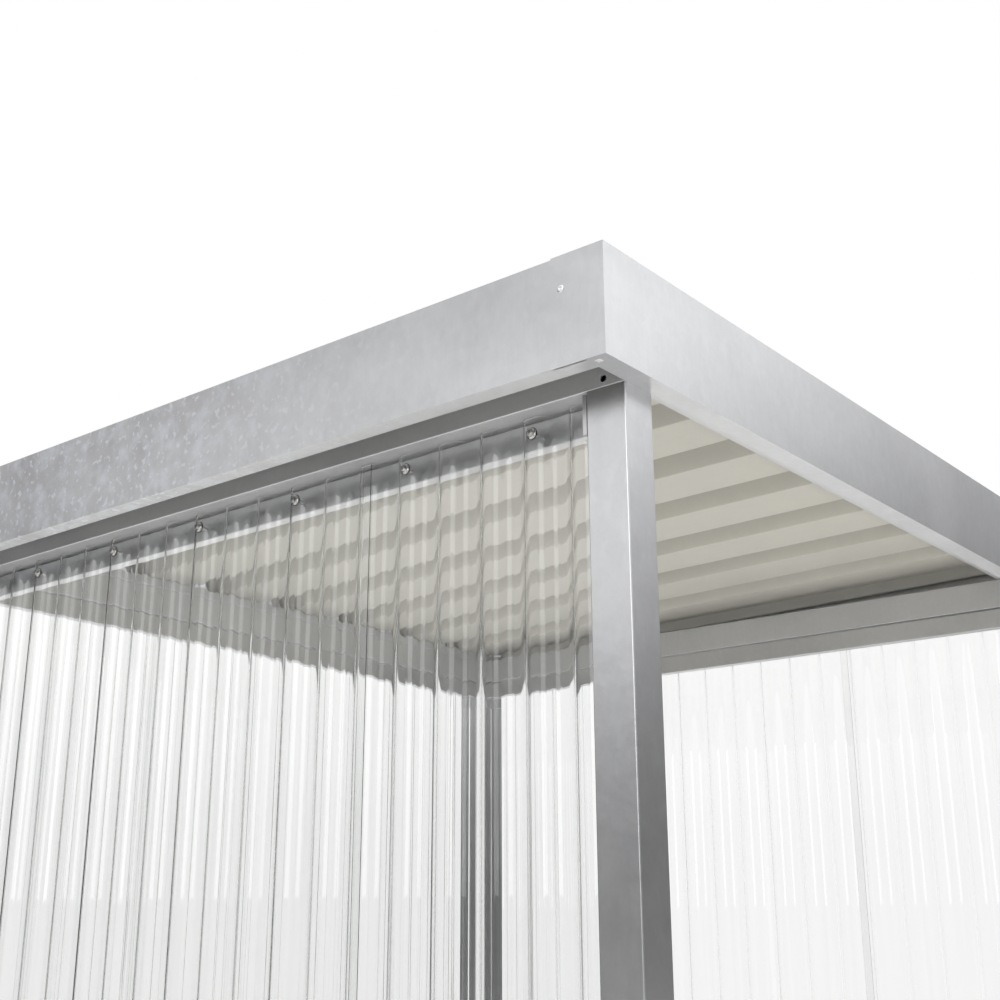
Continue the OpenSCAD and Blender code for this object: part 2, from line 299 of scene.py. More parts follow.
def dress(names, material):
    """Gives frame nodes a finish in all their slots."""
    for name in names:
        mesh = NODES[name].data
        if not mesh.materials:
            mesh.materials.append(material)
        for i in range(len(mesh.materials)):
            mesh.materials[i] = material


# ---- shader nodes ----


def fill(tree, node, values):
    """Sets a node's inputs to values, or links them to sockets."""
    for key, value in values.items():
        if isinstance(value, bpy.types.NodeSocket):
            tree.links.new(value, node.inputs[key])
        else:
            node.inputs[key].default_value = value


def add(tree, kind, values=None, **settings):
    """A node with its settings and inputs."""
    node = tree.nodes.new(kind)
    for key, value in settings.items():
        setattr(node, key, value)
    fill(tree, node, values or {})
    return node


def maths(tree, operation, a, b, clamp=False):
    """Output of a Math node."""
    node = add(tree, "ShaderNodeMath", {0: a, 1: b}, operation=operation, use_clamp=clamp)
    return node.outputs[0]


def span(tree, value, low, high, to_low=0.0, to_high=1.0):
    """Output of a Map Range node, clamped."""
    return add(
        tree, "ShaderNodeMapRange",
        {"Value": value, "From Min": low, "From Max": high, "To Min": to_low, "To Max": to_high},
    ).outputs["Result"]


def blend(tree, factor, a, b, mode="MIX"):
    """Output of a colour Mix node."""
    node = add(tree, "ShaderNodeMix", data_type="RGBA", blend_type=mode)
    a, b = (v if isinstance(v, bpy.types.NodeSocket) else (*v[:3], 1.0) for v in (a, b))
    fill(tree, node, {0: factor, 6: a, 7: b})
    return node.outputs[2]


def here(tree):
    """Object coordinates."""
    return add(tree, "ShaderNodeTexCoord").outputs["Object"]


def stretched(tree, scale):
    """Object coordinates stretched by a Mapping node."""
    return add(tree, "ShaderNodeMapping", {"Vector": here(tree), "Scale": scale}).outputs["Vector"]


def noise(tree, place, scale, detail, rough=0.5, warp=0.0):
    """Output of a Noise Texture node."""
    values = {"Vector": place, "Scale": scale, "Detail": detail, "Roughness": rough,
              "Distortion": warp}
    return add(tree, "ShaderNodeTexNoise", values).outputs["Fac"]


def bumps(tree, height, strength, distance):
    """Normal of a Bump node."""
    values = {"Height": height, "Strength": strength, "Distance": distance}
    return add(tree, "ShaderNodeBump", values).outputs["Normal"]


def surface_mix(tree, factor, first, second):
    """Links the material's surface to one shader mixed with another by a factor."""
    mix = add(tree, "ShaderNodeMixShader", {0: factor, 1: first, 2: second})
    tree.links.new(mix.outputs[0], tree.nodes["Material Output"].inputs["Surface"])


def open_air(tree, colour=(1.0, 1.0, 1.0)):
    """Output of a Transparent shader."""
    return add(tree, "ShaderNodeBsdfTransparent", {"Color": (*colour, 1.0)}).outputs[0]


def new_group(name, inputs, outputs):
    """An empty node group with its named sockets, and its input and output nodes."""
    tree = bpy.data.node_groups.new(name, "ShaderNodeTree")
    for label, value in inputs:
        socket = tree.interface.new_socket(label, in_out="INPUT", socket_type="NodeSocketFloat")
        socket.default_value = value
    for label, kind in outputs:
        tree.interface.new_socket(label, in_out="OUTPUT", socket_type=kind)
    return tree, tree.nodes.new("NodeGroupInput").outputs, tree.nodes.new("NodeGroupOutput").inputs


def placed(tree, name, **values):
    """A node group placed in a material with its own values."""
    node = tree.nodes.new("ShaderNodeGroup")
    node.node_tree = bpy.data.node_groups[name]
    for key, value in values.items():
        node.inputs[key.replace("_", " ")].default_value = value
    return node


def zinc_skin_group():
    """Tones of a zinc skin: broad cloudy blotches, crystals a few millimetres wide, fine
    upright grain and small pale flecks, as one tone, one fleck mask and one height."""
    tree, given, out = new_group(
        "zinc skin",
        [("Blotch size", 0.16), ("Crystal size", 0.010), ("Grain", 0.3), ("Flecks", 0.5)],
        [("Tone", "NodeSocketFloat"), ("Fleck", "NodeSocketFloat"), ("Height", "NodeSocketFloat")],
    )
    place = here(tree)
    clouds = noise(tree, place, maths(tree, "DIVIDE", 1.0, given["Blotch size"]), 4.0, 0.52, 0.4)
    crystals = add(
        tree, "ShaderNodeTexVoronoi",
        {"Vector": place, "Scale": maths(tree, "DIVIDE", 1.0, given["Crystal size"]),
         "Randomness": 1.0},
        feature="F1",
    ).outputs["Color"]
    crystal_tone = add(tree, "ShaderNodeSeparateColor", {"Color": crystals}).outputs[0]
    grain = noise(tree, stretched(tree, (160.0, 160.0, 22.0)), 1.0, 3.0, 0.6)
    spots = noise(tree, stretched(tree, (60.0, 60.0, 34.0)), 1.0, 2.0, 0.45)
    fleck = maths(tree, "MULTIPLY", span(tree, spots, 0.50, 0.78), given["Flecks"], clamp=True)
    broad = span(tree, clouds, 0.30, 0.70, 0.2, 0.8)
    fine = maths(tree, "MULTIPLY", maths(tree, "SUBTRACT", grain, 0.5), given["Grain"])
    small = maths(tree, "MULTIPLY", maths(tree, "SUBTRACT", crystal_tone, 0.5), 0.16)
    tone = maths(tree, "ADD", maths(tree, "ADD", broad, fine), small, clamp=True)
    lumps = noise(tree, place, 32.0, 3.0)
    for label, value in (("Tone", tone), ("Fleck", fleck), ("Height", lumps)):
        tree.links.new(value, out[label])


def dull_film_group():
    """A thin uneven film of dust and dried rain, as one mask that is stronger low down."""
    tree, given, out = new_group(
        "dull film", [("Amount", 0.4), ("Foot height", 0.35)], [("Mask", "NodeSocketFloat")]
    )
    streaks = noise(tree, stretched(tree, (26.0, 26.0, 2.2)), 1.0, 5.0, 0.6)
    height = add(tree, "ShaderNodeSeparateXYZ", {"Vector": here(tree)}).outputs["Z"]
    low = maths(tree, "SUBTRACT", 1.0, maths(tree, "DIVIDE", height, given["Foot height"]),
                clamp=True)
    runs = span(tree, streaks, 0.42, 0.72)
    mask = maths(tree, "MULTIPLY", maths(tree, "ADD", maths(tree, "MULTIPLY", low, 0.8), runs),
                 given["Amount"], clamp=True)
    tree.links.new(mask, out["Mask"])


def surface(name):
    """A new material with its tree and its Principled shader."""
    material = bpy.data.materials.new(name)
    material.use_nodes = True
    tree = material.node_tree
    return material, tree, tree.nodes["Principled BSDF"]


def bloomed(tree, metal, bloom):
    """The metal's colour under pale spots and murky patches that grow towards the back."""
    place = here(tree)
    back = add(tree, "ShaderNodeSeparateXYZ", {"Vector": place}).outputs["Y"]
    patches = noise(tree, place, 26.0, 4.0, 0.6)
    spots = noise(tree, place, 85.0, 2.0)
    murk = noise(tree, place, 9.0, 3.0)
    growth = span(tree, back, -0.5, 0.15, 0.08 * bloom, bloom)
    pale = maths(tree, "MAXIMUM", span(tree, patches, 0.48, 0.68, 0.0, 0.75),
                 span(tree, spots, 0.57, 0.67))
    murky = maths(tree, "MULTIPLY", span(tree, murk, 0.48, 0.66, 0.0, 0.6), growth)
    metal = blend(tree, murky, metal, MURK_GREY)
    return blend(tree, maths(tree, "MULTIPLY", pale, growth), metal, BLOOM_WHITE)


def zinc(name, finish, blotch, crystal, grain, flecks, rough, bump, film, metallic=0.9,
         bloom=0.0):
    """Hot-dip zinc: two greys mixed by the skin's tone, paler in its flecks, with a bloom on
    it where one is asked for, all under a dull film."""
    material, tree, shader = surface(name)
    skin = placed(tree, "zinc skin", Blotch_size=blotch, Crystal_size=crystal,
                  Grain=grain, Flecks=flecks)
    dust = placed(tree, "dull film", Amount=film).outputs["Mask"]
    metal = blend(tree, skin.outputs["Tone"], finish.zinc_dark, finish.zinc_light)
    metal = blend(tree, skin.outputs["Fleck"], metal, FLECK_WHITE)
    if bloom:
        metal = bloomed(tree, metal, bloom)
    metal = blend(tree, maths(tree, "MULTIPLY", dust, 0.35), metal, DUST_GREY)
    even = span(tree, skin.outputs["Tone"], 0.0, 1.0, rough - 0.02, rough + 0.03)
    gloss = maths(tree, "ADD", even, maths(tree, "MULTIPLY", dust, 0.12), clamp=True)
    lumps = bumps(tree, skin.outputs["Height"], bump, 0.0012)
    fill(tree, shader, {"Base Color": metal, "Roughness": gloss, "Normal": lumps,
                        "Metallic": metallic})
    return material


def deck_coat(finish):
    """Baked off-white coat: faint cloudiness, orange-peel bump and dust, with painted shade that
    darkens it in its rib recesses and over the beams, where an ambient occlusion pass finds it
    closed in.
    """
    material, tree, shader = surface("deck coat")
    place = here(tree)
    clouds = noise(tree, place, 3.5, 6.0, 0.6)
    peel = noise(tree, place, 420.0, 2.0)
    dust = placed(tree, "dull film", Amount=0.35)
    base = finish.deck_coat
    coat = blend(tree, span(tree, clouds, 0.3, 0.7), tuple(c * 0.95 for c in base),
                 tuple(min(1.0, c * 1.03) for c in base))
    coat = blend(tree, maths(tree, "MULTIPLY", dust.outputs["Mask"], 0.25), coat,
                 (0.50, 0.48, 0.42))
    # painted shade: the coat is multiplied darker where ambient occlusion finds it closed in, in the
    # rib recesses and over the beams
    open_side = add(tree, "ShaderNodeAmbientOcclusion", {"Distance": 0.09}, samples=4)
    painted_recess_shade = span(tree, open_side.outputs["AO"], 0.70, 0.98, 0.735, 1.0)
    coat = blend(tree, 1.0, coat, painted_recess_shade, "MULTIPLY")
    gloss = span(tree, clouds, 0.3, 0.7, 0.38, 0.50)
    fill(tree, shader, {"Base Color": coat, "Roughness": gloss, "Specular IOR Level": 0.35,
                        "Normal": bumps(tree, peel, 0.12, 0.0002)})
    return material


def clear_plastic(finish):
    """Clear plastic that lets the lamps through: faint streaks in its gloss and surface."""
    material, tree, shader = surface("clear plastic")
    drawn = noise(tree, stretched(tree, (70.0, 70.0, 1.6)), 1.0, 3.0)
    specks = noise(tree, stretched(tree, (300.0, 300.0, 240.0)), 1.0, 2.0)
    tint = blend(tree, span(tree, drawn, 0.35, 0.7), finish.clear_tint,
                 tuple(c * 0.975 for c in finish.clear_tint))
    gloss = maths(tree, "ADD", span(tree, drawn, 0.4, 0.75, 0.0, 0.035),
                  span(tree, specks, 0.70, 0.80, 0.0, 0.12))
    fill(tree, shader, {"Base Color": tint, "Roughness": gloss, "Transmission Weight": 1.0,
                        "IOR": 1.49, "Normal": bumps(tree, drawn, 0.05, 0.0004)})
    from_lamp = add(tree, "ShaderNodeLightPath").outputs["Is Shadow Ray"]
    surface_mix(tree, from_lamp, shader.outputs[0], open_air(tree, (0.93, 0.94, 0.935)))
    return material


def rubber(name):
    """Dark rubber of the washers, with a dusty bloom."""
    material, tree, shader = surface(name)
    bloom = noise(tree, here(tree), 260.0, 4.0)
    fill(tree, shader, {
        "Base Color": blend(tree, span(tree, bloom, 0.35, 0.7), (0.020, 0.020, 0.019),
                            (0.060, 0.058, 0.055)),
        "Roughness": span(tree, bloom, 0.3, 0.7, 0.45, 0.65),
        "Normal": bumps(tree, bloom, 0.2, 0.0002),
    })
    return material


def bright_metal(name, light, dark, rough):
    """Bright fixing metal: turned grain and fine wear."""
    material, tree, shader = surface(name)
    wear = noise(tree, here(tree), 380.0, 5.0, 0.65)
    fill(tree, shader, {
        "Base Color": blend(tree, span(tree, wear, 0.35, 0.68), dark, light),
        "Roughness": span(tree, wear, 0.3, 0.7, rough - 0.05, rough + 0.10),
        "Normal": bumps(tree, wear, 0.15, 0.0002),
        "Metallic": 1.0,
    })
    return material


# ---- shapes ----


def outward(points, faces):
    """Turns a closed shell's faces outwards, so that its volume, summed over fans of
    triangles, is positive."""
    p = np.asarray(points, float)
    f = np.array(faces)
    volume = sum(
        np.einsum("ij,ij->", p[f[:, 0]], np.cross(p[f[:, k]], p[f[:, k + 1]])) for k in (1, 2)
    )
    return f if volume > 0 else f[:, ::-1]


def rounded_path(corners, radius, steps):
    """Bent line: each inner corner gives way to an arc. The arc's points are its centre,
    which lies one radius square to the line, plus that radius turned through even steps."""
    p = np.asarray(corners, float)
    along = np.diff(p, axis=0)
    along /= np.linalg.norm(along, axis=1)[:, None]
    u, w = along[:-1], along[1:]
    cross = u[:, 0] * w[:, 1] - u[:, 1] * w[:, 0]
    turn = np.arccos(np.clip((u * w).sum(axis=1), -1.0, 1.0))
    square = np.stack([-u[:, 1], u[:, 0]], axis=1) * np.sign(cross)[:, None]
    start = p[1:-1] - u * (radius * np.tan(turn / 2))[:, None]
    a = (np.linspace(0.0, 1.0, steps)[None, :] * turn[:, None])[..., None]
    arc = (start + radius * square)[:, None] + radius * (
        -square[:, None] * np.cos(a) + u[:, None] * np.sin(a)
    )
    return np.concatenate([p[:1], arc.reshape(-1, 2), p[-1:]])


def wave_corners(size, first, last):
    """Corners of corrugations first to last, as distance along the wall and depth into it."""
    rise = size.depth - size.thickness
    run = (size.pitch - size.crest - size.trough) / 2
    end = size.first_crest + np.arange(first, last + 1) * size.pitch
    along = end[:, None] + np.array([-size.crest, 0.0, run, run + size.trough])
    depth = np.broadcast_to([0.0, 0.0, rise, rise], along.shape)
    return np.stack([along, depth], axis=-1).reshape(-1, 2)


def lap_corners(size):
    """Corners of the covering sheet's first corrugation, lifted off the one that it covers."""
    rise = size.depth - size.thickness
    run = (size.pitch - size.crest - size.trough) / 2
    slope = math.hypot(run, rise)
    end = size.first_crest + size.lap_wave * size.pitch
    lift = size.lap_lift
    return np.array([
        [end - size.crest / 2 - size.lap_over, -lift],
        [end + lift * (slope - run) / rise, -lift],
        [end + run + lift * slope / rise, rise],
        [end + run + size.trough, rise],
    ])


def sheet_section(size, corners, start, stop):
    """Outer and inner lines of a sheet: its middle line, half a thickness out either way,
    where the thickness grows near each bend as a bell curve of the distance to it."""
    path = rounded_path(corners, size.bend, BEND_POINTS)
    s = np.unique(np.concatenate([
        path[(path[:, 0] > start) & (path[:, 0] < stop), 0],
        np.arange(start, stop, SHEET_STEP), [start, stop],
    ]))
    s = s[np.concatenate([[True], np.diff(s) > LEAST_STEP])]
    middle = np.stack([s, np.interp(s, path[:, 0], path[:, 1])], axis=1)
    tangent = np.gradient(middle, axis=0)
    tangent /= np.linalg.norm(tangent, axis=1)[:, None]
    square = np.stack([-tangent[:, 1], tangent[:, 0]], axis=1)
    nearest = np.abs(s[:, None] - corners[None, 1:-1, 0]).min(axis=1)
    swell = size.thickening * np.exp(-((nearest / size.thick_reach) ** 2))
    half = (size.thickness + swell)[:, None] / 2
    return middle - square * half, middle + square * half


def extruded_band(outer, inner, low, high, origin, along, inward):
    """A band between two lines, carried straight up from low to high, closed all round.
    A point is the wall's origin plus its distance along, its depth inward and its height."""
    ring = np.concatenate([outer, inner[::-1]])
    flat = origin + ring[:, :1] * along + ring[:, 1:] * inward
    n, m = len(ring), len(outer)
    points = np.concatenate([np.column_stack([flat, np.full(n, z)]) for z in (low, high)])
    i = np.arange(m - 1)
    foot = np.stack([i + 1, i, n - 1 - i, n - 2 - i], axis=1)
    faces = np.concatenate([grid_faces(2, n, close_cols=True), foot, foot[:, ::-1] + n])
    return points, outward(points, faces)


def turned(rows, around):
    """A solid turned about its axis: a row is (radius, height, hexagon share). The radius at
    an angle goes from a circle's to a hexagon's, cos 30 over the cosine within its side."""
    rows = np.asarray(rows, float)
    angle = np.arange(around) * 2 * math.pi / around
    within = angle % (math.pi / 3) - math.pi / 6
    hexagon = math.cos(math.pi / 6) / np.cos(within)
    radius = rows[:, :1] * (1 + rows[:, 2:3] * (hexagon[None, :] - 1))
    ring = np.stack([
        radius * np.cos(angle), radius * np.sin(angle),
        np.broadcast_to(rows[:, 1:2], radius.shape),
    ], axis=-1).reshape(-1, 3)
    ends = np.array([[0.0, 0.0, rows[0, 1]], [0.0, 0.0, rows[-1, 1]]])
    points = np.concatenate([ring, ends])
    n, k = len(ring), np.arange(around)
    nxt = (k + 1) % around
    sides = grid_faces(len(rows), around, close_cols=True)
    foot = np.stack([np.full(around, n), nxt, k], axis=1)
    top = np.stack([np.full(around, n + 1), n - around + k, n - around + nxt], axis=1)
    return points, sides.tolist() + foot.tolist() + top.tolist()


def copies(points, faces, places, axes, spins):
    """Copies of one solid: each point is the place plus its coordinates along two directions
    square to the copy's axis, turned by its spin, and along the axis itself."""
    places, axes = np.asarray(places, float), np.asarray(axes, float)
    up = np.where(np.abs(axes[:, 2:3]) > 0.9, [[1.0, 0.0, 0.0]], [[0.0, 0.0, 1.0]])
    right = np.cross(up, axes)
    right /= np.linalg.norm(right, axis=1)[:, None]
    ahead = np.cross(axes, right)
    c, s = np.cos(spins)[:, None], np.sin(spins)[:, None]
    first, second = right * c + ahead * s, ahead * c - right * s
    p = np.asarray(points)
    out = (
        places[:, None]
        + p[None, :, 0:1] * first[:, None]
        + p[None, :, 1:2] * second[:, None]
        + p[None, :, 2:3] * axes[:, None]
    ).reshape(-1, 3)
    shift = np.arange(len(places)) * len(p)
    quads = np.array([f for f in faces if len(f) == 4])
    tris = np.array([f for f in faces if len(f) == 3])
    every = []
    for block in (quads, tris):
        if len(block):
            every += (block[None] + shift[:, None, None]).reshape(-1, block.shape[1]).tolist()
    return out, every


def fixings(name, rows, sides, places, axes, spins, sharp_over, material):
    """Copies of one turned solid as one piece."""
    points, faces = turned(rows, sides)
    return piece(name, *copies(points, faces, places, axes, spins), sharp_over, material)


def screw_rows(size, shank):
    """Rows of a washer-headed hexagon screw from the tip of its shank to its top."""
    w, h, top = size.washer_radius, size.head_radius, size.head_height
    return [
        (0.0008, -shank, 0), (0.0026, -shank + 0.003, 0), (0.0026, 0.0012, 0),
        (w - 0.0014, 0.0014, 0), (w - 0.0008, 0.0020, 0), (w - 0.0012, 0.0026, 0),
        (w - 0.0030, 0.0033, 0), (h + 0.0009, 0.0036, 0), (h + 0.0007, 0.0044, 0),
        (h, 0.0046, 1), (h, 0.0040 + top * 0.8, 1), (h * 0.86, 0.0040 + top, 0.3),
        (h * 0.45, 0.0040 + top * 1.03, 0),
    ]


def seal_rows(size):
    """Rows of the rubber ring under a screw's washer."""
    w = size.washer_radius
    return [(w - 0.0012, 0.0, 0), (w - 0.0001, 0.0004, 0), (w, 0.0011, 0),
            (w - 0.0004, 0.0018, 0), (w - 0.0016, 0.0020, 0)]


def rivet_rows(size):
    """Rows of a blind rivet's head: a low dome with the pin's hole in its middle."""
    r = size.rivet_radius
    return [
        (r * 0.96, -0.0001, 0), (r, 0.0003, 0), (r * 0.93, 0.0008, 0), (r * 0.74, 0.0013, 0),
        (r * 0.50, 0.0015, 0), (r * 0.38, 0.0013, 0), (r * 0.33, 0.0004, 0), (r * 0.15, 0.0002, 0),
    ]


def post_weld(centre, half, corner, low, leg, seed):
    """A fillet weld round a square post: the path runs round the post's rounded outline,
    and the bead's bulge rises and falls along it as overlapping puddles do."""
    turns = np.linspace(0, 2 * math.pi, WELD_POINTS + 1)[:-1]
    # the rounded square's outline, from the angle of its outward direction
    quarter = np.floor(turns / (math.pi / 2))
    within = turns - quarter * math.pi / 2
    share = within / (math.pi / 2)
    straight = half - corner
    arc = np.clip((share - 0.4) / 0.2, 0, 1) * math.pi / 2
    slide = np.where(share < 0.5, np.clip(share / 0.4, 0, 1), np.clip((share - 0.6) / 0.4, 0, 1))
    base = quarter * math.pi / 2
    first = share < 0.5
    y_local = np.where(first, slide * straight, straight) + corner * np.sin(arc)
    x_local = np.where(first, straight, straight * (1 - slide)) + corner * np.cos(arc)
    x = x_local * np.cos(base) - y_local * np.sin(base)
    y = x_local * np.sin(base) + y_local * np.cos(base)
    facing = base + arc
    out = np.stack([np.cos(facing), np.sin(facing)], axis=1)
    puddle = 1 + 0.10 * np.cos(turns * PUDDLES + seed) + 0.05 * np.sin(turns * SWELLINGS + seed)
    reach = np.array([-0.0006, 1.0, 0.72, 0.34, 0.0, -0.0006])
    height = np.array([-0.0003, 0.0, 0.40, 0.76, 1.0, 1.0])
    # the bead's toe and back stay put just inside the metal, the rest swells with the puddles
    r = np.where(np.abs(reach) < 0.01, reach, reach * leg)
    r = r * np.where(reach > 0.01, puddle[:, None], 1)
    z = height * leg * np.where(height > 0.01, puddle[:, None], 1)
    flat = np.stack([x, y], axis=1)[:, None, :] + out[:, None, :] * r[..., None]
    points = np.concatenate([flat + centre, (low + z)[..., None]], axis=-1).reshape(-1, 3)
    return points, grid_faces(len(turns), len(reach), close_rows=True, close_cols=True)


def walls(size):
    """Each wall's name with its origin, its directions along and inward, and its length
    between the posts."""
    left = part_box("left_front_sheet")
    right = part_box("right_front_sheet")
    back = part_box("back_left_sheet")
    near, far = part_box("front_left_post"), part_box("back_left_post")
    side = far[0][1] - near[1][1]
    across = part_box("back_right_post")[0][0] - far[1][0]
    half = size.thickness / 2
    return {
        "left": (np.array([left[0][0] + half, near[1][1]]), (0, 1), (1, 0), side),
        "right": (np.array([right[1][0] - half, near[1][1]]), (0, 1), (-1, 0), side),
        "back": (np.array([far[1][0], back[1][1] - half]), (1, 0), (0, -1), across),
    }


# ---- operators ----


class SHELTER_OT_dress_frame(bpy.types.Operator):
    """Give the posts, feet, beams, purlins and wall rails their hot-dip zinc"""

    bl_idname = "shelter.dress_frame"
    bl_label = "Dress frame"

    def execute(self, context):
        finish = context.scene.shelter_finish
        dress(POSTS, zinc("dipped post", finish, blotch=0.20, crystal=0.006, grain=0.16,
                          flecks=0.20, rough=0.30, bump=0.30, film=0.20))
        dress(BEAMS, zinc("dipped beam", finish, blotch=0.30, crystal=0.006, grain=0.06,
                          flecks=0.08, rough=0.33, bump=0.10, film=0.20, metallic=0.50))
        dress(RAILS, zinc("dipped rail", finish, blotch=0.25, crystal=0.006, grain=0.06,
                          flecks=0.12, rough=0.30, bump=0.45, film=0.20, metallic=0.75))
        dress(["foot_plates"], zinc("dipped plate", finish, blotch=0.06, crystal=0.007,
                                    grain=0.10, flecks=0.60, rough=0.42, bump=0.45, film=0.75))
        return {"FINISHED"}


class SHELTER_OT_dress_fascia(bpy.types.Operator):
    """Give the folded fascia its spangled zinc"""

    bl_idname = "shelter.dress_fascia"
    bl_label = "Dress fascia"

    def execute(self, context):
        finish = context.scene.shelter_finish
        dress(FASCIAS, zinc("spangled sheet", finish, blotch=0.15, crystal=0.011, grain=0.28,
                            flecks=0.15, rough=0.30, bump=0.06, film=0.12, bloom=0.9))
        return {"FINISHED"}


class SHELTER_OT_dress_deck(bpy.types.Operator):
    """Give the ribbed roof deck its baked off-white coat"""

    bl_idname = "shelter.dress_deck"
    bl_label = "Dress roof deck"

    def execute(self, context):
        dress(DECKS, deck_coat(context.scene.shelter_finish))
        return {"FINISHED"}


class SHELTER_OT_wall_sheets(bpy.types.Operator):
    """Make the clear corrugated sheets of the three walls"""

    bl_idname = "shelter.wall_sheets"
    bl_label = "Wall sheets"

    def execute(self, context):
        size = context.scene.shelter_sheets
        clear = clear_plastic(context.scene.shelter_finish)
        lap = size.first_crest + size.lap_wave * size.pitch - size.crest / 2
        for wall, (origin, along, inward, length) in walls(size).items():
            last = math.ceil(length / size.pitch)
            first_line = wave_corners(size, -1, size.lap_wave)
            second_line = np.concatenate([
                lap_corners(size), wave_corners(size, size.lap_wave + 1, last)])
            spans = ((first_line, size.edge_gap, lap + size.lap_over),
                     (second_line, lap - size.lap_over, length - size.edge_gap))
            for node, (corners, start, stop) in zip(SHEETS[wall], spans):
                low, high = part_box(node)[0][2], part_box(node)[1][2]
                outer, inner = sheet_section(size, corners, start, stop)
                points, faces = extruded_band(outer, inner, low, high, origin,
                                              np.array(along), np.array(inward))
                obj = piece("clear_" + node, points, faces, sharp_over=40, material=clear)
                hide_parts(node)
        return {"FINISHED"}


class SHELTER_OT_wall_screws(bpy.types.Operator):
    """Fix the wall sheets to their rails with washer-headed screws"""

    bl_idname = "shelter.wall_screws"
    bl_label = "Wall screws"

    def execute(self, context):
        sheet, size = context.scene.shelter_sheets, context.scene.shelter_fixings
        rng = np.random.default_rng(7)
        places, axes = [], []
        for wall, (origin, along, inward, length) in walls(sheet).items():
            count = int((length - sheet.first_crest) / sheet.pitch)
            k = np.arange(size.screw_first, count + 1, size.screw_every)
            s = sheet.first_crest - sheet.crest / 2 + k * sheet.pitch
            lift = sheet.thickness / 2 + np.where(k == sheet.lap_wave, sheet.lap_lift, 0.0)
            flat = origin + s[:, None] * np.array(along) - lift[:, None] * np.array(inward)
            for level in LEVELS:
                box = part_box(f"{wall}_{level}_rail")
                middle = (box[0][2] + box[1][2]) / 2
                if level == "top":
                    middle = box[1][2] - size.top_middle
                places.append(np.column_stack([flat, np.full(len(s), middle - size.screw_drop)]))
                axes.append(np.tile([-inward[0], -inward[1], 0.0], (len(s), 1)))
        places, axes = np.concatenate(places), np.concatenate(axes)
        spins = rng.uniform(0, math.pi, len(places))
        steel = bright_metal("screw steel", (0.72, 0.72, 0.71), (0.42, 0.42, 0.41), 0.22)
        obj = fixings("wall_screws", screw_rows(size, WALL_SHANK), SCREW_SIDES,
                      places, axes, spins, sharp_over=35, material=steel)
        obj = fixings("wall_seals", seal_rows(size), SCREW_SIDES,
                      places, axes, spins, sharp_over=50, material=rubber("seal rubber"))
        return {"FINISHED"}


class SHELTER_OT_deck_screws(bpy.types.Operator):
    """Fix the roof deck's lower flats to both purlins"""

    bl_idname = "shelter.deck_screws"
    bl_label = "Deck screws"

    rib_pitch: FloatProperty(
        name="Rib pitch", default=0.207, unit="LENGTH",
        description="Pitch of the roof deck's ribs",
    )
    rib_shift: FloatProperty(
        name="Rib shift", default=-0.012, unit="LENGTH",
        description="Distance from the middle to the nearest rib",
    )
    seat: FloatProperty(
        name="Seat", default=0.0010, unit="LENGTH",
        description="Deck's upper face above the purlins' tops",
    )
    flats: IntProperty(
        name="Flats", default=8, min=1,
        description="Number of lower flats with a screw on each purlin",
    )

    def execute(self, context):
        size = context.scene.shelter_fixings
        front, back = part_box("front_purlin"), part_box("back_purlin")
        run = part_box("left_deck")[1][1] - front[1][1]
        slope = (front[1][2] - back[1][2]) / run
        k = np.arange(self.flats) - self.flats // 2
        x = self.rib_shift + (k + 0.5) * self.rib_pitch
        rows = []
        for box in (front, back):
            y = (box[0][1] + box[1][1]) / 2
            z = front[1][2] + self.seat - slope * (y - front[1][1])
            rows.append(np.column_stack([x, np.full(len(x), y), np.full(len(x), z)]))
        places = np.concatenate(rows)
        axes = np.tile([0.0, slope, 1.0], (len(places), 1)) / math.hypot(1.0, slope)
        spins = np.random.default_rng(11).uniform(0, math.pi, len(places))
        steel, seal = bpy.data.materials["screw steel"], bpy.data.materials["seal rubber"]
        obj = fixings("deck_screws", screw_rows(size, DECK_SHANK), SCREW_SIDES,
                      places, axes, spins, sharp_over=35, material=steel)
        obj = fixings("deck_seals", seal_rows(size), SCREW_SIDES,
                      places, axes, spins, sharp_over=50, material=seal)
        return {"FINISHED"}


class SHELTER_OT_rivets(bpy.types.Operator):
    """Rivet the fascia together at its four corners, in its sides and under its flanges"""

    bl_idname = "shelter.rivets"
    bl_label = "Fascia rivets"

    in_from_end: FloatProperty(
        name="In from end", default=0.065, unit="LENGTH",
        description="Distance of the side rivets from the fascia's ends",
    )
    up: FloatProperty(
        name="Height", default=0.104, unit="LENGTH",
        description="Height of the side rivets above the fascia's lower edge",
    )
    flange_x: FloatProperty(
        name="Flange inset across", default=0.015, unit="LENGTH",
        description="Distance of the flange rivets from the fascia's sides",
    )
    flange_y: FloatProperty(
        name="Flange inset along", default=0.020, unit="LENGTH",
        description="Distance of the flange rivets from the fascia's ends",
    )

    def execute(self, context):
        size = context.scene.shelter_fixings
        side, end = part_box("left_fascia"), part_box("front_fascia")
        reach_x, reach_y = -side[0][0], -end[0][1]
        low = end[0][2]
        sx = np.array([-1.0, -1.0, 1.0, 1.0])
        sy = np.array([-1.0, 1.0, -1.0, 1.0])
        nil, one = np.zeros(4), np.ones(4)
        faces_at = np.column_stack([sx * reach_x, sy * (reach_y - self.in_from_end),
                                    one * (low + self.up)])
        under_at = np.column_stack([sx * (reach_x - self.flange_x),
                                    sy * (reach_y - self.flange_y), one * low])
        places = np.concatenate([faces_at, under_at])
        axes = np.concatenate([np.column_stack([sx, nil, nil]),
                               np.column_stack([nil, nil, -one])])
        spins = np.zeros(len(places))
        metal = bright_metal("rivet metal", (0.93, 0.93, 0.93), (0.72, 0.72, 0.73), 0.34)
        obj = fixings("fascia_rivets", rivet_rows(size), RIVET_SIDES,
                      places, axes, spins, sharp_over=40, material=metal)
        return {"FINISHED"}


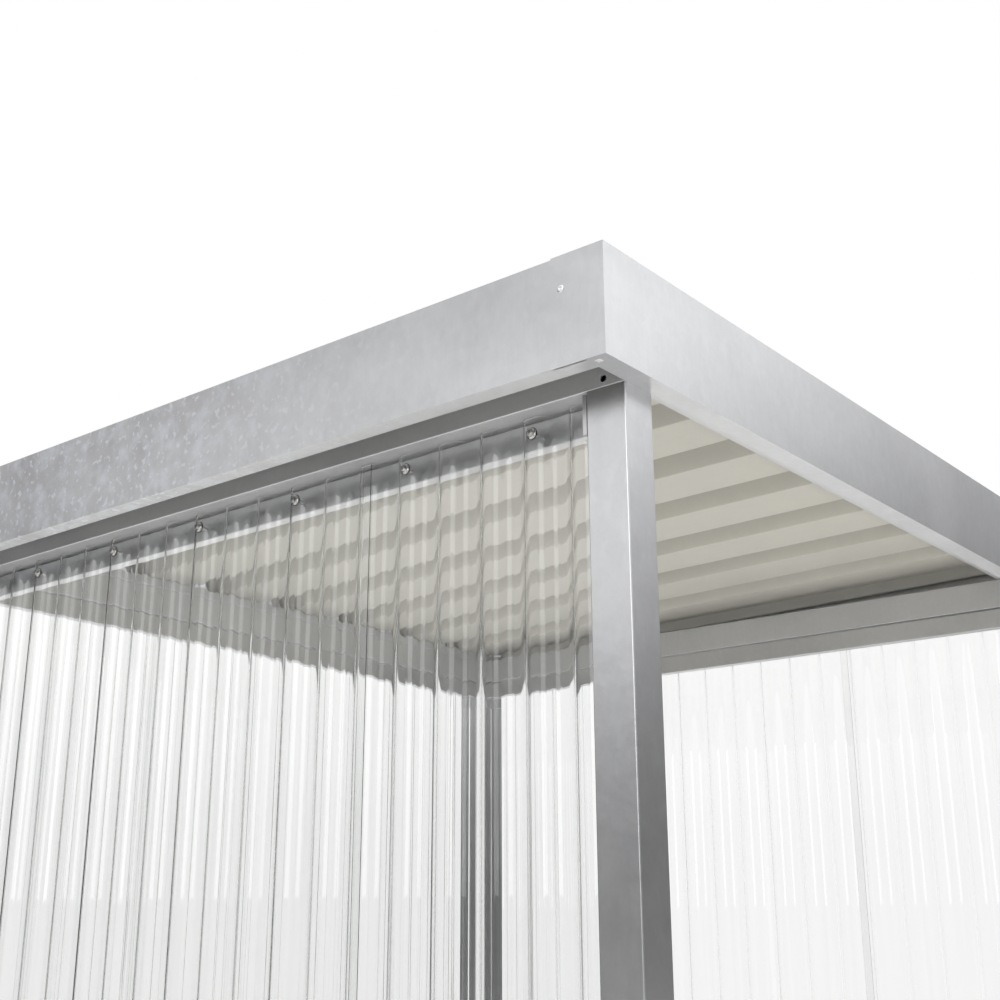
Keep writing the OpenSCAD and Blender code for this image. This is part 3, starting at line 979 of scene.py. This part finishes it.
class SHELTER_OT_foot_welds(bpy.types.Operator):
    """Run a fillet weld round each post where it stands on its foot plate"""

    bl_idname = "shelter.foot_welds"
    bl_label = "Foot welds"

    corner: FloatProperty(
        name="Corner", default=0.002, unit="LENGTH",
        description="Outside corner radius of the post",
    )

    def execute(self, context):
        leg = context.scene.shelter_fixings.weld_leg
        every_point, every_face, shift = [], [], 0
        for i, post in enumerate(POSTS):
            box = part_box(post)
            centre = np.array([(box[0][0] + box[1][0]) / 2, (box[0][1] + box[1][1]) / 2])
            half = (box[1][0] - box[0][0]) / 2
            points, faces = post_weld(centre, half, self.corner, box[0][2], leg, 1.7 * i)
            faces = outward(points, faces)
            every_point.append(points)
            every_face += (faces + shift).tolist()
            shift += len(points)
        obj = piece("foot_welds", np.concatenate(every_point), every_face, sharp_over=60,
                    material=NODES["foot_plates"].data.materials[0])
        return {"FINISHED"}


class SHELTER_OT_stage(bpy.types.Operator):
    """Set the floor, the soft lamps, the white background and the camera"""

    bl_idname = "shelter.stage"
    bl_label = "Stage"

    def execute(self, context):
        scene, stage = context.scene, context.scene.shelter_stage
        self.floor(scene)
        self.surround(stage)
        self.background(scene, stage)
        self.lamps(scene, stage)
        camera = bpy.data.cameras.new("camera")
        camera.lens, camera.sensor_width = stage.lens, 36.0
        camera.clip_start, camera.clip_end = 0.05, 200.0
        eye = bpy.data.objects.new("camera", camera)
        eye.matrix_world = (
            Matrix.Translation(stage.eye)
            @ Matrix.Rotation(-stage.heading, 4, "Z")
            @ Matrix.Rotation(math.pi / 2 + stage.pitch, 4, "X")
            @ Matrix.Rotation(stage.roll, 4, "Z")
        )
        scene.collection.objects.link(eye)
        scene.camera = eye
        scene.view_settings.view_transform = "Standard"
        return {"FINISHED"}

    def floor(self, scene):
        """A round floor that fades away at its edge."""
        material, tree, shader = surface("pale floor")
        place = here(tree)
        mottle = noise(tree, place, 2.5, 6.0)
        base = scene.shelter_finish.floor
        tone = blend(tree, span(tree, mottle, 0.3, 0.7), tuple(c * 0.985 for c in base),
                     tuple(min(1.0, c * 1.01) for c in base))
        fill(tree, shader, {"Base Color": tone, "Roughness": 0.9, "Specular IOR Level": 0.1})
        away = add(tree, "ShaderNodeVectorMath", {0: place}, operation="LENGTH").outputs["Value"]
        surface_mix(tree, span(tree, away, FADE_FROM, FLOOR_EDGE), shader.outputs[0],
                    open_air(tree))
        radii = (0.02, 2.0, 4.0, 6.0, FLOOR_EDGE)
        points = circles(radii, [FLOOR_HEIGHT] * len(radii), FLOOR_POINTS)
        rings = grid_faces(len(radii), FLOOR_POINTS, close_cols=True)
        floor = mesh_object("floor", points, [*rings, range(FLOOR_POINTS)], material)

    def surround(self, stage):
        """A grey studio wall that shows only in reflections: dim at floor level, lighter above
        and white behind the shelter."""
        material, tree, shader = surface("grey surround")
        tree.nodes.remove(shader)
        along = add(tree, "ShaderNodeVectorMath", {0: here(tree), 3: 1 / stage.reach},
                    operation="SCALE").outputs["Vector"]
        x, y, z = add(tree, "ShaderNodeSeparateXYZ", {"Vector": along}).outputs
        # brightness up each side, then its changes from front to back, all in shares of the reach
        left = self.ramp(tree, z, LEFT_GLOW)
        left = maths(tree, "MULTIPLY", left, span(tree, y, 0.55, 0.84, 1.0, 0.46))
        left = maths(tree, "MULTIPLY", left, span(tree, y, 0.77, 0.81, 1.0, 0.80))
        right = self.ramp(tree, z, RIGHT_GLOW)
        right = maths(tree, "MULTIPLY", right, span(tree, y, -0.68, -0.50, 1.26, 0.50))
        right = maths(tree, "MULTIPLY", right, span(tree, y, -0.47, -0.41, 1.0, 1.36))
        side = span(tree, x, -0.25, 0.25)
        # white far along the line that leads away behind the shelter
        behind = span(tree, maths(tree, "ADD", maths(tree, "MULTIPLY", x, 0.57),
                                  maths(tree, "MULTIPLY", y, 0.82)), 0.75, 0.90)
        tone = blend(tree, behind, blend(tree, side, left, right), (1.0, 1.0, 1.0))
        glow = add(tree, "ShaderNodeEmission", {"Color": tone}).outputs[0]
        bounces = add(tree, "ShaderNodeLightPath").outputs["Glossy Depth"]
        surface_mix(tree, maths(tree, "GREATER_THAN", bounces, 0.5), open_air(tree), glow)
        points = circles([stage.reach] * 2, [0.0, stage.reach], WALL_POINTS)
        faces = grid_faces(2, WALL_POINTS, close_cols=True)
        wall = mesh_object("surround", points, faces, material)
        wall.visible_camera = wall.visible_diffuse = wall.visible_shadow = False

    def ramp(self, tree, value, stops):
        """Grey that follows a value through stops of (place, brightness)."""
        node = add(tree, "ShaderNodeValToRGB", {"Fac": value})
        marks = node.color_ramp.elements
        for i, (place, tone) in enumerate(stops):
            mark = marks[i] if i < 2 else marks.new(place)
            mark.position, mark.color = place, (tone, tone, tone, 1.0)
        return node.outputs["Color"]

    def background(self, scene, stage):
        """White to the camera, to metal and through glass; a soft light from above to the rest."""
        world = bpy.data.worlds.new("studio")
        world.use_nodes = True
        tree = world.node_tree
        path = add(tree, "ShaderNodeLightPath").outputs
        seen = maths(tree, "ADD", maths(tree, "ADD", path["Is Camera Ray"], path["Is Glossy Ray"]),
                     path["Is Transmission Ray"], clamp=True)
        shade = tree.nodes["Background"]
        shade.inputs["Color"].default_value = (1.0, 1.0, 1.0, 1.0)
        up = add(tree, "ShaderNodeSeparateXYZ",
                 {"Vector": add(tree, "ShaderNodeTexCoord").outputs["Generated"]}).outputs["Z"]
        # dim at the horizon and brightest overhead
        even = span(tree, up, 0.0, 1.0, stage.sky * 0.4, stage.sky * 1.3)
        strength = add(tree, "ShaderNodeMix", {"Factor": seen, "A": even, "B": 1.0}).outputs[0]
        tree.links.new(strength, shade.inputs["Strength"])
        scene.world = world

    def lamps(self, scene, stage):
        """Soft lamps, each with its heading, height angle and distance from a point in the
        shelter's middle, its width and height and its power."""
        aim = np.array([0.0, 0.0, 1.2])
        table = (
            ("side lamp", 190.0, 20.0, 7.0, 5.0, 4.0, 90.0),
            ("top lamp", -110.0, 72.0, 6.0, 4.0, 4.0, 40.0),
        )
        for name, heading, height, far, wide, tall, power in table:
            lamp = bpy.data.lights.new(name, "AREA")
            lamp.shape, lamp.size, lamp.size_y = "RECTANGLE", wide, tall
            lamp.energy = power * stage.lamps
            obj = bpy.data.objects.new(name, lamp)
            obj.visible_camera = False
            obj.visible_diffuse = name == "top lamp"
            a, b = math.radians(heading), math.radians(height)
            spot = np.array([math.cos(a) * math.cos(b), math.sin(a) * math.cos(b), math.sin(b)])
            obj.matrix_world = (
                Matrix.Translation(tuple(spot * far + aim))
                @ Matrix.Rotation(a + math.pi / 2, 4, "Z")
                @ Matrix.Rotation(math.pi / 2 - b, 4, "X")
            )
            scene.collection.objects.link(obj)


class SHELTER_PT_panel(bpy.types.Panel):
    """Sizes, colours and steps of the shelter"""

    bl_idname = "SHELTER_PT_panel"
    bl_label = "Smoking shelter"
    bl_space_type = "VIEW_3D"
    bl_region_type = "UI"
    bl_category = "Shelter"

    def draw(self, context):
        layout, scene = self.layout, context.scene
        for label, group in (("Wall sheets", scene.shelter_sheets),
                             ("Fixings", scene.shelter_fixings),
                             ("Colours", scene.shelter_finish), ("Stage", scene.shelter_stage)):
            box = layout.box()
            box.label(text=label)
            for key in group.__annotations__:
                box.prop(group, key)
        for step in STEPS:
            layout.operator(step.bl_idname)


GROUPS = {
    "shelter_sheets": ShelterSheetSizes,
    "shelter_fixings": ShelterFixingSizes,
    "shelter_finish": ShelterFinish,
    "shelter_stage": ShelterStage,
}
STEPS = (
    SHELTER_OT_dress_frame,
    SHELTER_OT_dress_fascia,
    SHELTER_OT_dress_deck,
    SHELTER_OT_wall_sheets,
    SHELTER_OT_wall_screws,
    SHELTER_OT_deck_screws,
    SHELTER_OT_rivets,
    SHELTER_OT_foot_welds,
    SHELTER_OT_stage,
)


def register():
    for cls in (*GROUPS.values(), *STEPS, SHELTER_PT_panel):
        bpy.utils.register_class(cls)
    for key, cls in GROUPS.items():
        setattr(bpy.types.Scene, key, PointerProperty(type=cls))


def unregister():
    for key in GROUPS:
        delattr(bpy.types.Scene, key)
    for cls in reversed((*GROUPS.values(), *STEPS, SHELTER_PT_panel)):
        bpy.utils.unregister_class(cls)


def main():
    register()
    zinc_skin_group()
    dull_film_group()
    for step in STEPS:
        group, name = step.bl_idname.split(".")
        getattr(getattr(bpy.ops, group), name)()


if __name__ == "__main__":
    main()
